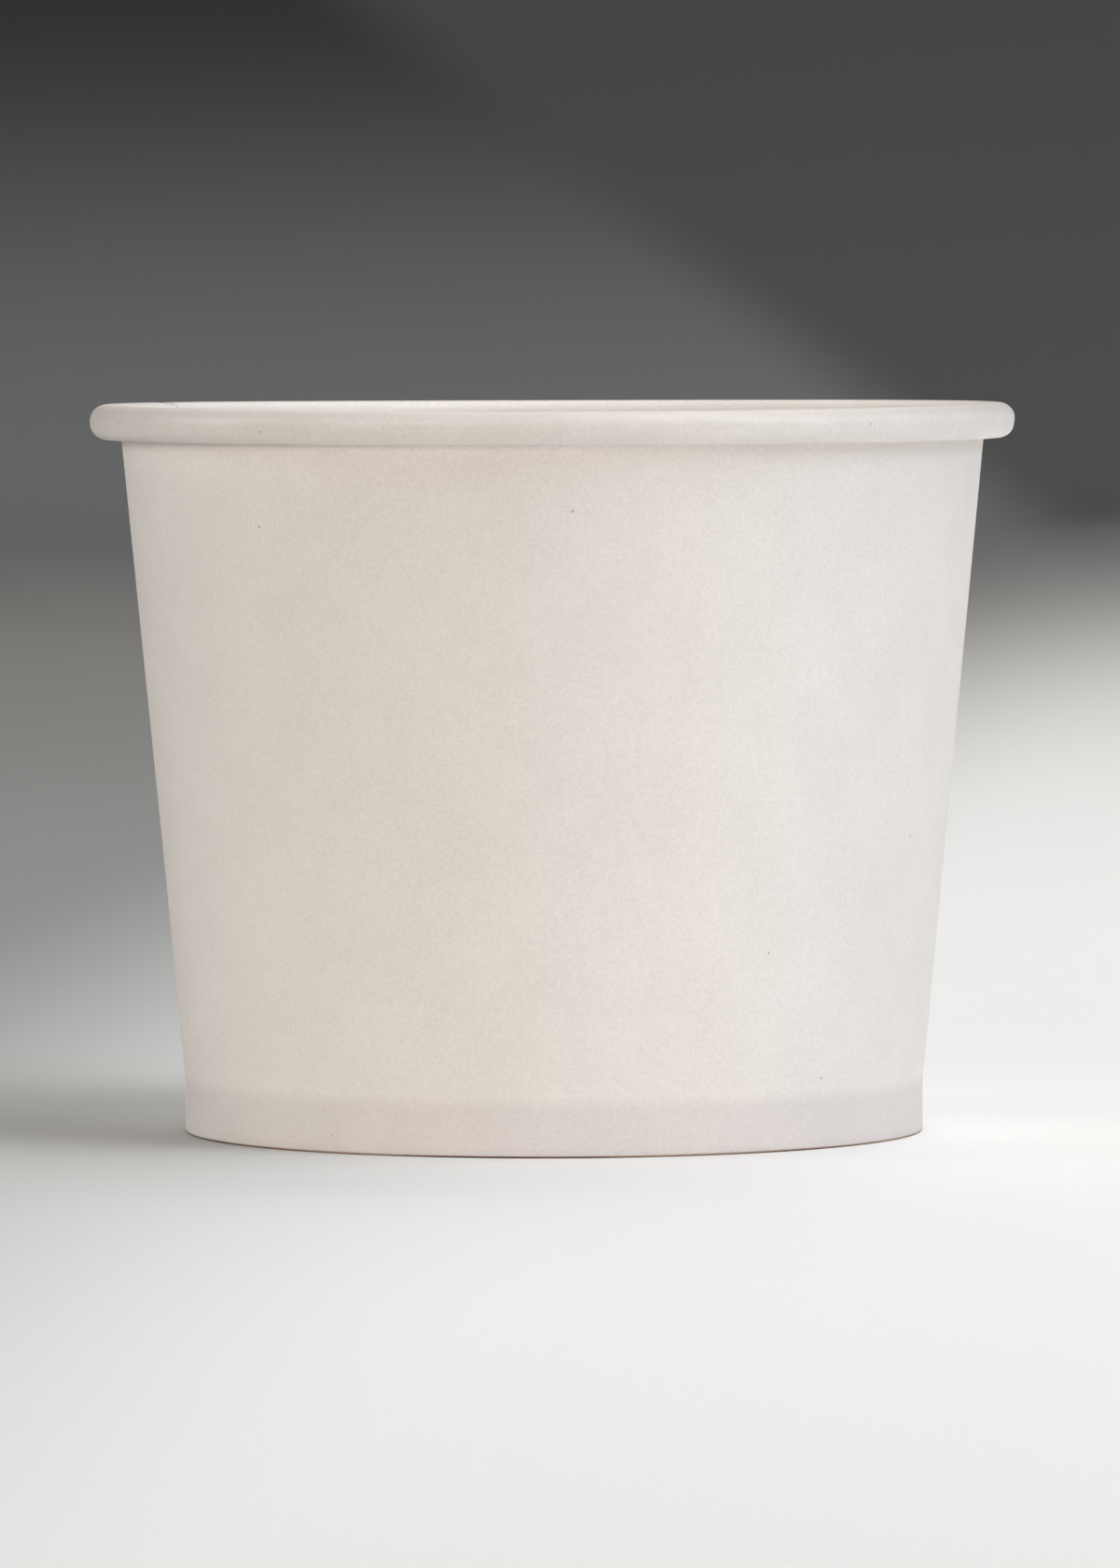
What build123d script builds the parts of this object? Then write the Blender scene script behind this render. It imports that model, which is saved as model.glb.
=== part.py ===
"""Paper sundae cup: a conical side wall rolled outwards at the rim and folded inwards at the foot, sealed to a base.

Millimetres, +Z up. The origin is the centre of the foot, on the surface that the cup stands on. +Y is the back.
Sections are drawn in the plane of r and z, at seam_angle from +X, and turned about Z.
"""

from build123d import *
from build123d.topology import SkipClean
from math import atan, cos, radians, tan
import os

# the cup's outer sizes
rim_diameter = 97.0
cup_height = 76.3
foot_diameter = 77.4

# the rolled rim: how far it stands out from the wall, and how tall it is
roll_width = 3.3
roll_height = 3.65
crest_flat = 0.10
roll_side_flat = 0.25
tuck_rise = 1.6

# the foot: an upright band, with the wall folded inwards and up behind the base's skirt
band_height = 5.2
band_bend_radius = 15.0
hem_height = 5.0
crease_radius = 0.05

# the base: a disc with its edge turned down
base_height = 6.3
base_bend_radius = 0.5
skirt_clearance = 0.08

# paper thicknesses, and the film of coating between sealed layers
wall_paper = 0.36
base_paper = 0.30
seal_gap = 0.02

# the side seam: its place round the cup, the width where two layers lap, the width of the step's slope, and how
# far the doubled fold is pressed up off the surface that the foot stands on
seam_angle = 151.7
seam_overlap = 7.0
seam_slope = 3.0
seam_lift = 0.05

# sizes that follow from those above
rim_radius = rim_diameter / 2
foot_radius = foot_diameter / 2
roll_bottom = cup_height - roll_height
wall_top_radius = rim_radius - roll_width
taper = atan((wall_top_radius - foot_radius) / (roll_bottom - band_height))
band_face_radius = foot_radius - wall_paper
skirt_outer_radius = band_face_radius - seal_gap
hem_face_radius = skirt_outer_radius - base_paper - seal_gap
skirt_bottom = 2 * wall_paper + seam_lift + skirt_clearance
tuck_radius = 2 * wall_paper + crease_radius
lap_degrees = seam_overlap / radians(1) / wall_top_radius
slope_degrees = seam_slope / radians(1) / wall_top_radius


def wall_path(layers):
    """Corners and corner radii of the wall's inner face, from the hem's edge to the tucked end of the roll.

    The face lies on the path's left. Extra layers at the seam are added on its right, so the foot's fold rises
    and the tuck moves outwards by their thickness.
    """
    extra = (layers - 1) * wall_paper
    fold_height = wall_paper + (layers - 1) * (wall_paper + seam_lift)
    band_top = band_height + wall_paper * tan(taper / 2)
    crest_start = band_face_radius + (cup_height - band_top) * tan(taper)
    crest_turn = radians(90) - taper
    crest_radius = (rim_radius - crest_start - crest_flat) / (1 + tan(crest_turn / 2))
    tuck_start = wall_top_radius + (extra + layers * seal_gap) / cos(taper)
    tuck_turn = radians(90) + taper
    room_under_roll = rim_radius - tuck_start - tuck_radius * tan(tuck_turn / 2) - crease_radius
    lower_radius = min(roll_height - crest_radius - roll_side_flat, room_under_roll)
    corners = [
        Vector(hem_face_radius, hem_height),
        Vector(hem_face_radius, fold_height),
        Vector(band_face_radius, fold_height),
        Vector(band_face_radius, band_top),
        Vector(crest_start, cup_height),
        Vector(rim_radius, cup_height),
        Vector(rim_radius, roll_bottom),
        Vector(tuck_start, roll_bottom),
        Vector(tuck_start + tuck_rise * tan(taper), roll_bottom + tuck_rise),
    ]
    radii = [crease_radius, crease_radius, band_bend_radius, crest_radius, crest_radius, lower_radius, tuck_radius]
    return corners, radii


def parallel_path(corners, radii, distance):
    """The path moved to its right by a distance, with each corner's radius changed to match."""
    legs = [(end - start).normalized() for start, end in zip(corners, corners[1:])]
    moved = []
    moved_radii = []
    for corner, arriving, leaving in zip(corners, [legs[0], *legs], [*legs, legs[-1]]):
        along = (arriving + leaving).normalized()
        right = Vector(along.Y, -along.X)
        moved.append(corner + right * (distance / along.dot(arriving)))
    for radius, arriving, leaving in zip(radii, legs, legs[1:]):
        turns_left = arriving.X * leaving.Y - arriving.Y * leaving.X > 0
        moved_radii.append(radius + (distance if turns_left else -distance))
    return moved, moved_radii


def sheet_section(path, near, far):
    """The closed outline of paper between two distances to the right of a path, in the plane of r and z."""
    near_corners, near_radii = parallel_path(*path, near)
    far_corners, far_radii = parallel_path(*path, far)
    near_side = FilletPolyline(*near_corners, radius=near_radii)
    far_side = FilletPolyline(*far_corners, radius=far_radii)
    start = Line(near_side @ 0, far_side @ 0)
    end = Line(near_side @ 1, far_side @ 1)
    outline = make_face([*near_side.edges(), end, *far_side.edges(), start])
    return Plane.XZ * outline


def turned(section, degrees):
    """A section moved round the cup's axis."""
    return section.rotate(Axis.Z, degrees)


def side_wall():
    """The wall's blank, wrapped round: one layer all round, two where it laps, and a sloped step beside the lap."""
    single = sheet_section(wall_path(1), 0, wall_paper)
    double = sheet_section(wall_path(2), 0, 2 * wall_paper)
    outer_layer = sheet_section(wall_path(2), wall_paper, 2 * wall_paper)
    lap_start = seam_angle - lap_degrees
    slope_end = seam_angle + slope_degrees
    lap = revolve(turned(double, lap_start), Axis.Z, lap_degrees)
    step = loft([turned(outer_layer, seam_angle), turned(single, slope_end)], ruled=True)
    around = revolve(turned(single, slope_end), Axis.Z, 360 - lap_degrees - slope_degrees)
    # faces stay divided where the zones meet, because merging them across the step opens the shell
    with SkipClean():
        return around + (lap + step)


def bottom_disc():
    """The base's round blank, with its edge turned down between the wall and the wall's hem."""
    top = base_height + base_paper
    path = (
        [Vector(0, top), Vector(skirt_outer_radius, top), Vector(skirt_outer_radius, skirt_bottom)],
        [base_bend_radius],
    )
    return revolve(sheet_section(path, 0, base_paper), Axis.Z, 360)


os.makedirs("parts", exist_ok=True)
export_step(side_wall(), "parts/side_wall.step")
export_step(bottom_disc(), "parts/bottom_disc.step")
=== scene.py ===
import math

import bpy
import numpy as np
from mathutils import Matrix, Vector


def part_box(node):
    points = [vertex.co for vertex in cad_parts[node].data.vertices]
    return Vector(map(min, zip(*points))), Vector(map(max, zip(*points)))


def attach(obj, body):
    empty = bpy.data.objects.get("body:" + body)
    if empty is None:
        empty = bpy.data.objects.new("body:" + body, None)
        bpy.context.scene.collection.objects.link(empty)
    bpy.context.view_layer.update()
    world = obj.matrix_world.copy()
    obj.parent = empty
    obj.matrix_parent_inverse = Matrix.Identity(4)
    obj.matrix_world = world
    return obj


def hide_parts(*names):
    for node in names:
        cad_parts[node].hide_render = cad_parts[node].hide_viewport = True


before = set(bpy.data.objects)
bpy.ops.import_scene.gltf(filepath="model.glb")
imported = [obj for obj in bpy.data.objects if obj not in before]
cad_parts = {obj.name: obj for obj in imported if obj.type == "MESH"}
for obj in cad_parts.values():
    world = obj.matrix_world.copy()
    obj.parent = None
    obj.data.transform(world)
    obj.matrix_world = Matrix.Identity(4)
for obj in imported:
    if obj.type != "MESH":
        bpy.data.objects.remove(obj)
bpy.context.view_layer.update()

# a paper sundae cup of two pieces, the wrapped wall and the base, on a pale sweep with soft lamps
mm = 0.001  # the sizes below are in millimetres, and the scene is in metres
faceSlots = dict(outside=0, film=1, cut=2)  # each face's material, by what it is on the board


def hexToLinear(hexColour):
    # sRGB hex to linear: below the knee it is divided by 12.92, above it a 2.4 power
    srgb = [int(hexColour[i:i + 2], 16) / 255 for i in (1, 3, 5)]
    return [c / 12.92 if c <= 0.04045 else ((c + 0.055) / 1.055) ** 2.4 for c in srgb]


def smoothStep(x):
    # 0 below 0, 1 above 1, and 3x2 - 2x3 between
    x = np.clip(x, 0, 1)
    return x * x * (3 - 2 * x)


def roundedPath(corners, radii, legSteps, arcSteps):
    # points and right-hand normals along straight legs joined by tangent arcs
    # an arc starts radius x tan(half the turn) before its corner, and its normal turns evenly
    # corners is (columns, count, 2), and each column gets its own path
    legs = np.diff(corners, axis=1)
    legs /= np.linalg.norm(legs, axis=2, keepdims=True)
    turn = np.arctan2(legs[:, :-1, 0] * legs[:, 1:, 1] - legs[:, :-1, 1] * legs[:, 1:, 0],
                      (legs[:, :-1] * legs[:, 1:]).sum(axis=2))
    cut = np.array(radii) * np.abs(np.tan(turn / 2))
    points, normals = [], []
    for i, steps in enumerate(legSteps):
        start = corners[:, i] + (legs[:, i] * cut[:, i - 1, None] if i > 0 else 0)
        end = corners[:, i + 1] - (legs[:, i] * cut[:, i, None] if i < len(radii) else 0)
        along = np.linspace(0, 1, steps + 1)[None, :, None]
        points.append(start[:, None] * (1 - along) + end[:, None] * along)
        normals.append(np.repeat(np.stack([legs[:, i, 1], -legs[:, i, 0]], 1)[:, None], steps + 1, axis=1))
        if i < len(radii):
            side = np.sign(turn[:, i])[:, None]
            heading = np.arctan2(legs[:, i, 1], legs[:, i, 0])[:, None]
            angle = heading + turn[:, i, None] * np.linspace(0, 1, arcSteps[i] + 1)[None, 1:-1]
            right = np.stack([np.sin(angle), -np.cos(angle)], 2)
            startRight = np.stack([np.sin(heading), -np.cos(heading)], 2)
            centre = end[:, None] - startRight * (side * radii[i])[:, :, None]
            points.append(centre + right * (side * radii[i])[:, :, None])
            normals.append(right)
    return np.concatenate(points, axis=1), np.concatenate(normals, axis=1)


def quadsBetween(rows, columns, wrapRows, wrapColumns):
    # corners of each quad of a grid whose point (row, column) is number row x columns + column
    row = np.arange(rows if wrapRows else rows - 1)[:, None]
    column = np.arange(columns if wrapColumns else columns - 1)[None, :]
    nextRow, nextColumn = (row + 1) % rows, (column + 1) % columns
    return np.stack([row * columns + column, row * columns + nextColumn,
                     nextRow * columns + nextColumn, nextRow * columns + column], 2).reshape(-1, 4)


def turnedAboutAxis(profile, degrees):
    # (radius, height) in millimetres at an angle about Z becomes (x, y, z) in metres
    angle = np.radians(degrees)[:, None]
    radius, height = profile[..., 0], profile[..., 1]
    return np.stack([radius * np.cos(angle), radius * np.sin(angle), height + 0 * angle], 2) * mm


def meshFromArrays(name, points, faces, groups, sharpFrom=50):
    # groups gives each face's material slot, and edges that turn by more than sharpFrom degrees stay sharp
    mesh = bpy.data.meshes.new(name)
    mesh.from_pydata(points.tolist(), [], faces)
    mesh.polygons.foreach_set("material_index", groups)
    mesh.shade_smooth()
    mesh.set_sharp_from_angle(angle=math.radians(sharpFrom))
    mesh.update()
    piece = bpy.data.objects.new(name, mesh)
    bpy.context.scene.collection.objects.link(piece)
    return piece


def roomInside(node):
    # the largest radius that stays inside a node's box on all four sides, and the box's top, in millimetres
    low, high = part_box(node)
    return min(high.x, high.y, -low.x, -low.y) / mm, high.z / mm


# the wall: one blank of board wrapped round, with its ends lapped and sealed, its top rolled out into the rim
# and its bottom folded in
wallBlank = dict(
    board=0.36, baseBoard=0.30, film=0.02,  # thicknesses; the film is the coating that seals the layers
    footRadius=38.7, bandHeight=5.2, bandBend=15.0, hemHeight=5.0,
    crease=0.05,  # the radius inside a sharp fold
    rollWidth=3.3, rollHeight=3.65, crestFlat=0.10, rollSideFlat=0.25, tuckRise=1.6,
    seamAngle=151.7, lap=7.0, slope=3.0, seamLift=0.05,  # the angle is from +X, and the lap is along the rim
    pressedShare=0.8, pressedWidth=1.7,  # the inner end loses this share of its thickness at its edge
    ribCount=120, ribDepth=0.16, ribBottom=0.9, ribTop=4.6, ribFade=0.5, ribPower=0.7,
    waveHeight=0.05, waveBottom=9.0, waveFade=20.0, waveTurn=0.6, waveThird=0.6, waveTwist=45.0,
    rollStretch=0.035,  # the share of its height by which the roll is pressed lower at the front and back
    creaseDepth=0.18, creaseDrop=2.2, creaseSpread=0.7, creaseStart=1.2,
    # waves per turn, size and turn in radians, picked so that the creases don't repeat
    creaseWaves=((7, 0.5, 0.4), (12, 0.45, 2.1), (19, 0.5, 4.0), (31, 0.35, 1.0), (47, 0.3, 5.2)),
    columnStep=0.6,  # degrees between columns away from the seam
)


def blankAngles(blank, lap, slope, pressed):
    # each column's angle in degrees: along the outer end's lap and down its slope, once round, then up the
    # slope and along the lap again for the inner end; columns stand closer where the board bends
    seam = blank["seamAngle"]
    innerStart = seam - lap + 360
    lapColumns = np.concatenate([np.linspace(0, lap - pressed, 10), np.linspace(lap - pressed, lap, 8)[1:]])
    slopeColumns = slope * np.array([0, 0.04, 0.1, 0.2, 0.3, 0.4, 0.5, 0.6, 0.7, 0.85, 1])
    around = int((360 - lap - 2 * slope) / blank["columnStep"])
    onceRound = np.linspace(seam + slope, innerStart - slope, around)
    return np.concatenate([seam - lap + lapColumns, seam + slopeColumns[1:], onceRound[1:],
                           innerStart - slope + slopeColumns[1:], innerStart + lapColumns[1:]])


def seamLayers(blank, degrees, lap, slope, pressed):
    # for each column, its thickness, how far it stands off the path, and its share of a second layer
    # the inner end is pressed thinner along a smooth step that ends at its edge
    # the outer end stands off by what lies under it, and comes down as a smooth step along the slope
    # the second layer's share is 1 in the lap, which lifts the fold and moves the tuck, and 0 past the slopes
    board = blank["board"]
    innerEnd = degrees > blank["seamAngle"] + 180
    fromSeam = degrees - blank["seamAngle"] - 360 * innerEnd
    past = fromSeam / slope
    thinned = blank["pressedShare"] * smoothStep(1 + fromSeam / pressed)
    thickness = board * (1 - thinned * innerEnd)
    standOff = (board * (1 - thinned) + blank["film"]) * (1 - smoothStep(past)) * ~innerEnd
    doubled = np.where(innerEnd, smoothStep((fromSeam + lap + slope) / slope), 1 - smoothStep(past))
    return thickness, standOff, doubled


def wallPath(blank, rimRadius, height, doubled):
    # the board's inner face as (radius, height): hem, fold, upright band, cone, crest, roll's side and tuck
    # the cone leans by the arctangent of its widening over its height
    # the crest's arcs touch the cone and the roll's side: their radius is the room for them, less the crest's
    # flat, over 1 + tan(45 degrees - half the lean)
    board, film = blank["board"], blank["film"]
    rollBottom = height - blank["rollHeight"]
    wallTop = rimRadius - blank["rollWidth"]
    lean = math.atan((wallTop - blank["footRadius"]) / (rollBottom - blank["bandHeight"]))
    bandFace = blank["footRadius"] - board
    hemFace = bandFace - blank["baseBoard"] - 2 * film
    bandTop = blank["bandHeight"] + board * math.tan(lean / 2)
    crestStart = bandFace + (height - bandTop) * math.tan(lean)
    crestRadius = (rimRadius - crestStart - blank["crestFlat"]) / (1 + math.tan(math.pi / 4 - lean / 2))
    lowerRadius = blank["rollHeight"] - crestRadius - blank["rollSideFlat"]
    tuckRadius = 2 * board + blank["crease"] + film
    foldHeight = board + doubled * (board + film + blank["seamLift"])
    tuckStart = wallTop + film + doubled * (board + film)
    same = np.ones_like(doubled)
    corners = np.stack([np.stack(pair, 1) for pair in (
        (hemFace * same, blank["hemHeight"] * same), (hemFace * same, foldHeight),
        (bandFace * same, foldHeight), (bandFace * same, bandTop * same),
        (crestStart * same, height * same), (rimRadius * same, height * same),
        (rimRadius * same, rollBottom * same), (tuckStart, rollBottom * same),
        (tuckStart + blank["tuckRise"] * math.tan(lean), (rollBottom + blank["tuckRise"]) * same))], 1)
    radii = [blank["crease"], blank["crease"], blank["bandBend"],
             crestRadius, crestRadius, lowerRadius, tuckRadius]
    # the hem, the band and the cone have the most steps, because ribs and waves bend them
    return roundedPath(corners, radii, legSteps=[9, 1, 6, 14, 1, 1, 2, 2], arcSteps=[2, 2, 4, 9, 9, 8, 5])


def pressedWall(blank, radius, z, angle, wallTop, height):
    # the hem, inside the skirt, is knurled into ribs: it moves inwards by half a cosine of the angle to a
    # power, faded in and out with height
    skirtInside = blank["footRadius"] - blank["board"] - blank["baseBoard"] - blank["film"]
    ribbed = (radius < skirtInside) * smoothStep((z - blank["ribBottom"]) / blank["ribFade"])
    ribbed = ribbed * smoothStep((blank["ribTop"] - z) / blank["ribFade"])
    ribs = (0.5 + 0.5 * np.cos(blank["ribCount"] * angle)) ** blank["ribPower"]
    radius = radius - blank["ribDepth"] * ribbed * ribs

    # the wall is a little out of round: a cosine of twice the angle, and a smaller one of three times the
    # angle that twists with height, each less 1 so that the wall only moves inwards
    free = smoothStep((z - blank["waveBottom"]) / blank["waveFade"])
    wave = np.cos(2 * angle + blank["waveTurn"]) - 1
    wave = wave + blank["waveThird"] * (np.cos(3 * angle + z / blank["waveTwist"]) - 1)
    radius = radius + blank["waveHeight"] * free * wave

    # the roll is pressed lower at the cup's front and back than at its sides, by a cosine of twice the angle
    rollBottom = height - blank["rollHeight"]
    above = np.clip(z - rollBottom, 0, None) * (radius > wallTop - 2 * blank["board"])
    z = z + above * blank["rollStretch"] * (np.cos(2 * angle) - 1)

    # the roll was curled dry, which left shallow creases: a sum of cosines of the angle, smooth-stepped,
    # deepest where the roll is widest and falling off as a bell curve of height
    creases = sum(size * np.cos(rate * angle + turn) for rate, size, turn in blank["creaseWaves"])
    widest = np.exp(-((z - (height - blank["creaseDrop"])) / blank["creaseSpread"]) ** 2)
    widest = widest * (radius > wallTop + blank["creaseStart"])
    radius = radius - blank["creaseDepth"] * widest * smoothStep(0.5 + 0.5 * creases)
    return radius, z


def makeSideWall(blank):
    # each column's section is the path and its copy one thickness to its right, turned about Z by its angle
    # a width becomes an angle as the width over the radius of the wall's top
    rimRadius, height = roomInside("side_wall")
    wallTop = rimRadius - blank["rollWidth"]
    lap, slope, pressed = (math.degrees(blank[width] / wallTop) for width in ("lap", "slope", "pressedWidth"))
    degrees = blankAngles(blank, lap, slope, pressed)
    thickness, standOff, doubled = seamLayers(blank, degrees, lap, slope, pressed)
    path, right = wallPath(blank, rimRadius, height, doubled)
    innerFace = path + right * standOff[:, None, None]
    outerFace = path + right * (standOff + thickness)[:, None, None]
    section = np.concatenate([innerFace, outerFace[:, ::-1]], axis=1)
    angle = np.radians(degrees)[:, None]
    radius, z = pressedWall(blank, section[..., 0], section[..., 1], angle, wallTop, height)
    points = turnedAboutAxis(np.stack([radius, z], 2), degrees)

    # a section runs up the inner face, across the cut edge, down the outer face and across again
    columns, count = radius.shape
    half = count // 2
    quads = quadsBetween(columns, count, wrapRows=False, wrapColumns=True)
    groups = np.full((columns - 1, count), faceSlots["outside"])
    groups[:, :half - 1] = faceSlots["film"]
    groups[:, [half - 1, count - 1]] = faceSlots["cut"]
    # the blank's two ends are strips of quads from face to face
    step = np.arange(half - 1)
    end = np.stack([step, step + 1, count - 2 - step, count - 1 - step], 1)
    faces = np.concatenate([quads, end[:, ::-1], (columns - 1) * count + end]).tolist()
    groups = np.concatenate([groups.ravel(), np.full(2 * (half - 1), faceSlots["cut"])])
    return meshFromArrays("sideWall", points.reshape(-1, 3), faces, groups)


# the base: a disc of thinner board with its edge turned down, pressed a little upwards in the middle
baseBlank = dict(
    height=6.3, board=0.30, bend=0.5, skirtBottom=0.85,
    crown=0.35, crownMargin=3.0, discDepth=0.4,  # the crown stops short of the edge, and bends the disc only
    ripple=0.05, rippleCount=3, rippleTurn=1.1,
    poleRadius=1.0, columns=360,  # inside the pole's radius the disc is closed by a fan of triangles
)


def makeBottomDisc(blank):
    # a path out along the disc and down the skirt, given the board's thickness and turned about Z
    rim, _ = roomInside("bottom_disc")
    degrees = np.arange(blank["columns"]) * 360 / blank["columns"]
    angle = np.radians(degrees)[:, None]
    same = np.ones_like(degrees)
    top = blank["height"] + blank["board"]
    corners = np.stack([np.stack(pair, 1) for pair in (
        (blank["poleRadius"] * same, top * same), (rim * same, top * same),
        (rim * same, blank["skirtBottom"] * same))], 1)
    path, right = roundedPath(corners, [blank["bend"]], legSteps=[26, 5], arcSteps=[6])
    section = np.concatenate([path, (path + right * blank["board"])[:, ::-1]], axis=1)
    radius, z = section[..., 0], section[..., 1]

    # the crown is (1 - share squared) squared, share being the radius over the crown's own
    # the ripple is a few waves round the disc that fade at the middle and the edge
    share = np.clip(radius / (rim - blank["crownMargin"]), 0, 1)
    flat = z > blank["height"] - blank["discDepth"]
    z = z + flat * blank["crown"] * (1 - share ** 2) ** 2
    ripple = share * (1 - share) * 4 * np.cos(blank["rippleCount"] * angle + blank["rippleTurn"])
    z = z + flat * blank["ripple"] * ripple
    points = turnedAboutAxis(np.stack([radius, z], 2), degrees).reshape(-1, 3)

    # a section runs along the upper face, across the skirt's cut edge and back along the under face
    columns, count = radius.shape
    quads = quadsBetween(columns, count, wrapRows=True, wrapColumns=False)
    groups = np.full((columns, count - 1), faceSlots["outside"])
    groups[:, :count // 2 - 1] = faceSlots["film"]
    groups[:, count // 2 - 1] = faceSlots["cut"]
    poles = np.array([[0, 0, top + blank["crown"]], [0, 0, blank["height"] + blank["crown"]]]) * mm
    first = np.arange(columns) * count
    following = np.roll(first, -1)
    topPole, underPole = len(points), len(points) + 1
    topFan = np.stack([np.full(columns, topPole), first, following], 1)
    underFan = np.stack([np.full(columns, underPole), following + count - 1, first + count - 1], 1)
    faces = quads.tolist() + topFan.tolist() + underFan.tolist()
    groups = np.concatenate([groups.ravel(), np.full(columns, faceSlots["film"]),
                             np.full(columns, faceSlots["outside"])])
    return meshFromArrays("bottomDisc", np.concatenate([points, poles]), faces, groups)


def addNode(tree, kind, inputs=None, **settings):
    # one node with its settings: an input is a value or another node's output
    node = tree.nodes.new(kind)
    for name, value in settings.items():
        setattr(node, name, value)
    for name, value in (inputs or {}).items():
        if isinstance(value, bpy.types.NodeSocket):
            tree.links.new(value, node.inputs[name])
        else:
            node.inputs[name].default_value = value
    return node


def mixed(node):
    # a colour mix keeps its result on its third output
    return node.outputs[2]


def softMix(tree, value, low, high, colourLow, colourHigh):
    # one colour up to low and the other from high on, with a smooth step between; each is a hex or a socket
    share = addNode(tree, "ShaderNodeMapRange", {"Value": value, "From Min": low, "From Max": high},
                    interpolation_type="SMOOTHSTEP")
    ends = [(*hexToLinear(end), 1) if isinstance(end, str) else end for end in (colourLow, colourHigh)]
    return mixed(addNode(tree, "ShaderNodeMix", {"Factor": share.outputs[0], "A": ends[0], "B": ends[1]},
                         data_type="RGBA"))


def newMaterial(name):
    # a material with an empty node tree
    material = bpy.data.materials.new(name)
    material.use_nodes = True
    tree = material.node_tree
    tree.nodes.clear()
    return material, tree


noiseRange = (0.35, 0.65)  # most of a noise texture's values lie between these

# bleached board, clay-coated and calendered: nearly white, a little warm, with faint clouds of bunched fibres
boardLook = dict(
    light="#F8F2EE", cloud="#F5EFEB", cloudSize=9.0,
    fibreShade="#F7F6F5", fibreSize=0.32,  # real fibres are 0.03 mm wide, and are drawn coarser to show
    speck="#8F8A86", speckSpacing=5.0, speckSize=0.15, speckDepth=0.6, speckShare=0.5,
    paintedShade="#F4F3F4", paintedShadeEdges=(4.6, 6.4),  # painted shade: the band, where the pressed layers let less light through than the single wall, is darker up to the first height, and the tint is gone by the second, where the band's layers become a single one
    # a brown and tan tint along the lowest edge of the foot
    footBrown="#7A5534", tan="#DCC0A6", footBrownHeight=0.26, footBrownPatch=30.0,
    toothStrength=0.6, toothDepth=0.02, roughness=0.62, coat=0.0, coatRoughness=0.3, ior=1.5,
)
# the inside and the roll: the same board under its film, a little shinier, with painted shade that darkens
# the roll's crest; the edges are heights on the roll, and radii between the wall and the roll
filmLook = dict(
    boardLook, light="#F1EBE7", cloud="#EDE7E2", paintedShade="#E6E5E4", paintedShadeEdges=(74.9, 76.2),
    edgeOfRoll=(45.4, 46.2), roughness=0.5, coat=0.25,
)
# the board's core, sheared through: fluffier and creamier than its faces, with no shine
cutLook = dict(  # its fibres are drawn coarser than real ones too
    light="#E9E3DC", dark="#DFD7CD", fibreSize=0.25, toothStrength=0.5, toothDepth=0.03, roughness=0.9,
)


def boardColour(tree, look, place):
    # clouds some millimetres across, multiplied by finer fibres, both soft steps of a noise
    clouds = addNode(tree, "ShaderNodeTexNoise", {"Vector": place, "Scale": 1 / (look["cloudSize"] * mm),
                                                  "Detail": 4.0, "Roughness": 0.6})
    fibres = addNode(tree, "ShaderNodeTexNoise", {"Vector": place, "Scale": 1 / (look["fibreSize"] * mm),
                                                  "Detail": 3.0, "Roughness": 0.7})
    paper = softMix(tree, clouds.outputs["Fac"], *noiseRange, look["light"], look["cloud"])
    fibreShade = softMix(tree, fibres.outputs["Fac"], *noiseRange, "#FFFFFF", look["fibreShade"])
    paper = mixed(addNode(tree, "ShaderNodeMix", {"Factor": 1.0, "A": paper, "B": fibreShade},
                          data_type="RGBA", blend_type="MULTIPLY"))
    # specks: space is cut into cells, and a share of them hold a dark dot around their own point
    cells = addNode(tree, "ShaderNodeTexVoronoi", {"Vector": place, "Scale": 1 / (look["speckSpacing"] * mm)},
                    feature="F1")
    speckRadius = look["speckSize"] / look["speckSpacing"]  # as a share of a cell
    near = addNode(tree, "ShaderNodeMath", {0: cells.outputs["Distance"], 1: speckRadius},
                   operation="LESS_THAN")
    chosen = addNode(tree, "ShaderNodeSeparateColor", {"Color": cells.outputs["Color"]}).outputs["Red"]
    rare = addNode(tree, "ShaderNodeMath", {0: chosen, 1: look["speckShare"]}, operation="LESS_THAN")
    speck = addNode(tree, "ShaderNodeMath", {0: near.outputs[0], 1: rare.outputs[0]}, operation="MULTIPLY")
    faint = addNode(tree, "ShaderNodeMath", {0: speck.outputs[0], 1: look["speckDepth"]},
                    operation="MULTIPLY")
    colour = addNode(tree, "ShaderNodeMix", {"Factor": faint.outputs[0], "A": paper,
                                             "B": (*hexToLinear(look["speck"]), 1)}, data_type="RGBA")
    return mixed(colour), fibres.outputs["Fac"]


def brownFootEdge(tree, look, place, z, colour):
    # the fold at the foot is tinted brown and tan in patches: none at its height, full at half of it
    fade = addNode(tree, "ShaderNodeMapRange", {"Value": z, "From Min": look["footBrownHeight"] * mm,
                                                "From Max": 0.5 * look["footBrownHeight"] * mm})
    patches = addNode(tree, "ShaderNodeTexNoise", {"Vector": place, "Scale": 1 / (look["footBrownPatch"] * mm),
                                                   "Detail": 2.0})
    depth = addNode(tree, "ShaderNodeMapRange", {"Value": patches.outputs["Fac"], "From Min": noiseRange[0],
                                                 "From Max": noiseRange[1]})
    brown = addNode(tree, "ShaderNodeMix", {
        "Factor": depth.outputs[0], "A": (*hexToLinear(look["footBrown"]), 1),
        "B": (*hexToLinear(look["tan"]), 1)}, data_type="RGBA")
    return mixed(addNode(tree, "ShaderNodeMix", {"Factor": fade.outputs[0], "A": colour, "B": mixed(brown)},
                         data_type="RGBA"))


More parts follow.
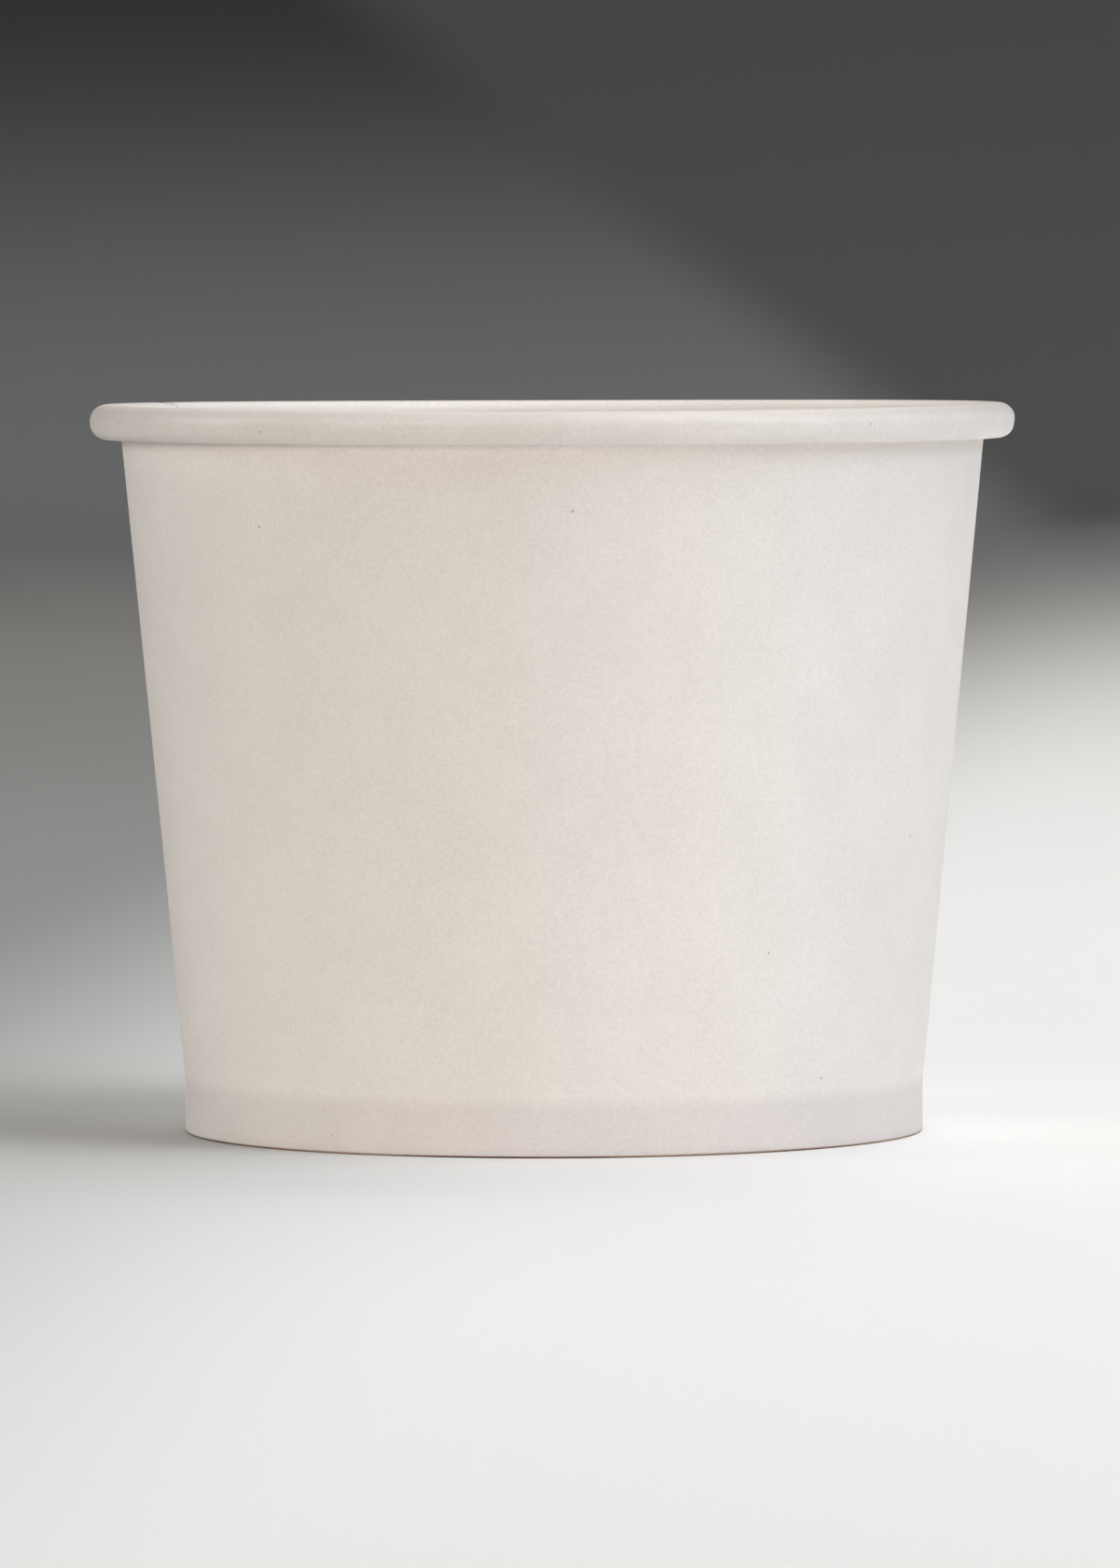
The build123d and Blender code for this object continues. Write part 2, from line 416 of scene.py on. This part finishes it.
def boardMaterial(name, look, outside):
    # calendered cellulose board: a soft broad shine with no mirror in it, a faint tooth under raking light,
    # and painted
    # shade in its colour: darker on the band, where pressed layers let less light through than a single one,
    # and on the roll's crest
    material, tree = newMaterial(name)
    place = addNode(tree, "ShaderNodeTexCoord").outputs["Object"]
    colour, fibres = boardColour(tree, look, place)
    z = addNode(tree, "ShaderNodeSeparateXYZ", {"Vector": place}).outputs["Z"]
    low, high = (edge * mm for edge in look["paintedShadeEdges"])
    # painted shade: outside, a darker tint below the band's top; inside, a darker tint on the roll's crest
    if outside:
        shadeTint = softMix(tree, z, low, high, look["paintedShade"], "#FFFFFF")
    else:
        level = addNode(tree, "ShaderNodeVectorMath", {0: place, 1: (1, 1, 0)}, operation="MULTIPLY")
        radius = addNode(tree, "ShaderNodeVectorMath", {0: level.outputs[0]},
                         operation="LENGTH").outputs["Value"]
        # painted shade: the roll's crest is darkened
        crest = softMix(tree, z, low, high, "#FFFFFF", look["paintedShade"])
        shadeTint = softMix(tree, radius, *(edge * mm for edge in look["edgeOfRoll"]), "#FFFFFF", crest)
    colour = mixed(addNode(tree, "ShaderNodeMix", {"Factor": 1.0, "A": colour, "B": shadeTint},
                           data_type="RGBA", blend_type="MULTIPLY"))
    if outside:
        colour = brownFootEdge(tree, look, place, z, colour)
    tooth = addNode(tree, "ShaderNodeBump", {"Height": fibres, "Strength": look["toothStrength"],
                                             "Distance": look["toothDepth"] * mm})
    shader = addNode(tree, "ShaderNodeBsdfPrincipled", {
        "Base Color": colour, "Roughness": look["roughness"], "IOR": look["ior"], "Normal": tooth.outputs[0],
        "Coat Weight": look["coat"], "Coat Roughness": look["coatRoughness"]})
    addNode(tree, "ShaderNodeOutputMaterial", {"Surface": shader.outputs[0]})
    return material


def cutEdgeMaterial(name, look):
    # two creams mixed by fine noise, which also gives the tooth
    material, tree = newMaterial(name)
    place = addNode(tree, "ShaderNodeTexCoord").outputs["Object"]
    fibres = addNode(tree, "ShaderNodeTexNoise", {"Vector": place, "Scale": 1 / (look["fibreSize"] * mm),
                                                  "Detail": 4.0}).outputs["Fac"]
    colour = addNode(tree, "ShaderNodeMix", {
        "Factor": fibres, "A": (*hexToLinear(look["light"]), 1), "B": (*hexToLinear(look["dark"]), 1)},
        data_type="RGBA")
    tooth = addNode(tree, "ShaderNodeBump", {"Height": fibres, "Strength": look["toothStrength"],
                                             "Distance": look["toothDepth"] * mm})
    shader = addNode(tree, "ShaderNodeBsdfPrincipled", {
        "Base Color": mixed(colour), "Roughness": look["roughness"], "Normal": tooth.outputs[0]})
    addNode(tree, "ShaderNodeOutputMaterial", {"Surface": shader.outputs[0]})
    return material


print("cup: wall and base")
sideWall = makeSideWall(wallBlank)
bottomDisc = makeBottomDisc(baseBlank)

print("cup: board and film")
cupMaterials = (  # in the order of faceSlots
    boardMaterial("calenderedCupBoard", boardLook, outside=True),
    boardMaterial("filmCoatedCupBoard", filmLook, outside=False),
    cutEdgeMaterial("shearedBoardEdge", cutLook),
)
for piece, node, slot in ((sideWall, "side_wall", "cup_board"), (bottomDisc, "bottom_disc", "base_board")):
    for material in cupMaterials:
        piece.data.materials.append(material)
    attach(piece, "root")
    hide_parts(node)

# the set: a pale floor that sweeps up into a wall all round, painted dark as shade, with a painted shadow
# edge across it; its back left lies in a soft painted shade
studio = dict(
    floorRadius=2600, sweepRadius=900, wallHeight=2600, poleRadius=0.5, columns=96,
    pale="#F2F2F2", shadeNear="#8F8F8F", shadeNearRadius=800, shadeFarRadius=2700, paintRoughness=0.85,
    shadeAcross=140, shadeAlong=1480, shadeUp=15,  # how gently the shade fades along x, y and z
    shadeStart=122,  # and how far to the left of the cup it is full
    # the wall's colours are painted shade: lighter low down and darker higher up, as where the light falls
    # away
    wallLeftLow="#CCCCCC", wallLeftHigh="#585858", wallRightLow="#949494", wallRightHigh="#808080",
    wallFade=210,  # the height at which the low colours have become the high ones, the painted falling-off of the light
    shadowEdgeWidth=45, shadowEdgeHeight=130, shadowEdgeSlope=0.79,  # a soft slanting painted shadow edge between the wall's two sides
)


def makeSweep(size):
    # a flat disc, a quarter circle, then an upright wall, turned about Z
    floor, bend, columns = size["floorRadius"], size["sweepRadius"], size["columns"]
    profile = [[size["poleRadius"], 0.0], [floor + bend, 0.0], [floor + bend, size["wallHeight"]]]
    corners = np.tile(np.array([profile]), (columns, 1, 1))
    path, _ = roundedPath(corners, [bend], legSteps=[24, 6], arcSteps=[16])
    points = turnedAboutAxis(path, np.arange(columns) * 360 / columns)
    count = path.shape[1]
    faces = quadsBetween(columns, count, wrapRows=True, wrapColumns=False).tolist()
    faces.append(list(range(0, columns * count, count)))
    return meshFromArrays("sweep", points.reshape(-1, 3), faces, np.zeros(len(faces), int))


def planeDistance(tree, place, x, y, z, start):
    # start, plus 1 for every x, y and z millimetres along each axis, or minus 1 where the length is negative
    # a length of 0 leaves its axis out
    rises = [1 / (length * mm) if length else 0.0 for length in (x, y, z)]
    rise = addNode(tree, "ShaderNodeVectorMath", {0: place, 1: rises}, operation="DOT_PRODUCT")
    return addNode(tree, "ShaderNodeMath", {0: rise.outputs["Value"], 1: start}, operation="ADD").outputs[0]


def sweepMaterial(size):
    # matt paint, with no shine: each side of the wall darkens with height as painted light fall-off, and a
    # slanting plane parts the sides along a painted shadow edge; the floor's painted shade becomes the wall
    # with distance, and another plane parts it from the pale floor
    material, tree = newMaterial("paintedSweep")
    place = addNode(tree, "ShaderNodeTexCoord").outputs["Object"]
    z = addNode(tree, "ShaderNodeSeparateXYZ", {"Vector": place}).outputs["Z"]
    wallLeft = softMix(tree, z, 0.0, size["wallFade"] * mm, size["wallLeftLow"], size["wallLeftHigh"])
    wallRight = softMix(tree, z, 0.0, size["wallFade"] * mm, size["wallRightLow"], size["wallRightHigh"])
    width = size["shadowEdgeWidth"]
    shadowEdge = planeDistance(tree, place, width / size["shadowEdgeSlope"], 0, width, -size["shadowEdgeHeight"] / width)
    wall = softMix(tree, shadowEdge, -0.5, 0.5, wallLeft, wallRight)
    radius = addNode(tree, "ShaderNodeVectorMath", {0: place}, operation="LENGTH").outputs["Value"]
    near, far = size["shadeNearRadius"] * mm, size["shadeFarRadius"] * mm
    shade = softMix(tree, radius, near, far, size["shadeNear"], wall)
    lit = planeDistance(tree, place, size["shadeAcross"], -size["shadeAlong"], -size["shadeUp"],
                        size["shadeStart"] / size["shadeAcross"])
    colour = softMix(tree, lit, 0.0, 1.0, shade, size["pale"])
    shader = addNode(tree, "ShaderNodeBsdfPrincipled", {"Base Color": colour,
                                                        "Roughness": size["paintRoughness"]})
    addNode(tree, "ShaderNodeOutputMaterial", {"Surface": shader.outputs[0]})
    return material


print("studio: sweep, lights and camera")
sweep = makeSweep(studio)
sweep.data.materials.append(sweepMaterial(studio))

# azimuth is measured from the camera's side, positive to its right: degrees, millimetres and watts
# a box without its own aim and spread lights the cup's middle, with its edges open
cupMiddle = (0, 0, 40)
softboxes = dict(
    keyRight=dict(azimuth=60, elevation=34, distance=1900, width=1000, power=14.5, colour="#EDF6FF"),
    lowFrontLeft=dict(azimuth=-30, elevation=5, distance=1900, width=1000, power=15.4, colour="#FFF1DE"),
    left=dict(azimuth=-90, elevation=20, distance=1900, width=1000, power=10.8, colour="#F8FDFF"),
    back=dict(azimuth=180, elevation=40, distance=1900, width=1000, power=4.0, colour="#FFF3D8"),
    floorRight=dict(azimuth=90, elevation=80.5, distance=1217, width=700, power=2.75, colour="#FFFAF6",
                    aim=(230, -260, 0), spread=110),
    floorBack=dict(azimuth=135, elevation=83.3, distance=1208, width=700, power=2.1, colour="#FAFDFF",
                   aim=(200, 500, 0), spread=110),
    farFloor=dict(azimuth=160, elevation=70, distance=1700, width=1200, power=2.2, colour="#FFFFFF",
                  aim=(200, 2100, 0), spread=140),
    floorBehind=dict(azimuth=90, elevation=85, distance=900, width=600, power=0.8, colour="#FFFFFF",
                     aim=(450, 1050, 0), spread=110),
)


def addSoftbox(name, box):
    # a square lamp that faces its aim, at its distance in the direction that azimuth and elevation give
    azimuth, elevation = math.radians(box["azimuth"]), math.radians(box["elevation"])
    direction = Vector((math.sin(azimuth) * math.cos(elevation), -math.cos(azimuth) * math.cos(elevation),
                        math.sin(elevation)))
    away = direction * box["distance"] * mm
    data = bpy.data.lights.new(name, "AREA")
    data.shape = "SQUARE"
    data.size = box["width"] * mm
    data.energy = box["power"]
    data.color = hexToLinear(box["colour"])
    data.spread = math.radians(box.get("spread", 180))
    light = bpy.data.objects.new(name, data)
    light.location = Vector(box.get("aim", cupMiddle)) * mm + away
    light.rotation_euler = (-away).to_track_quat("-Z", "Y").to_euler()
    light.visible_camera = False
    bpy.context.scene.collection.objects.link(light)


for name, box in softboxes.items():
    addSoftbox(name, box)

# a little white light from all round, as from the room's own walls
roomLight = dict(colour="#FFFFFF", strength=0.09)
world = bpy.data.worlds.new("studioAir")
world.use_nodes = True
background = world.node_tree.nodes["Background"]
background.inputs["Color"].default_value = (*hexToLinear(roomLight["colour"]), 1)
background.inputs["Strength"].default_value = roomLight["strength"]
bpy.context.scene.world = world

# a long lens a little above the rim, tipped down, a hair to the right of the cup and rolled by 0.15 degrees
lens = dict(
    distance=1183.0, height=91.1, right=0.69, down=2.65, roll=0.15,
    focal=259.0, sensor=36, near=50, far=20000,
)
cameraData = bpy.data.cameras.new("camera")
cameraData.sensor_width = lens["sensor"]
cameraData.lens = lens["focal"]
cameraData.clip_start = lens["near"] * mm
cameraData.clip_end = lens["far"] * mm
camera = bpy.data.objects.new("camera", cameraData)
stand = Matrix.Translation((lens["right"] * mm, -lens["distance"] * mm, lens["height"] * mm))
tipped = Matrix.Rotation(math.radians(90 - lens["down"]), 4, "X")
rolled = Matrix.Rotation(math.radians(-lens["roll"]), 4, "Z")
camera.matrix_world = stand @ tipped @ rolled
bpy.context.scene.collection.objects.link(camera)
bpy.context.scene.camera = camera
bpy.context.scene.view_settings.view_transform = "Standard"
bpy.context.scene.cycles.diffuse_bounces = 3

bpy.context.view_layer.update()
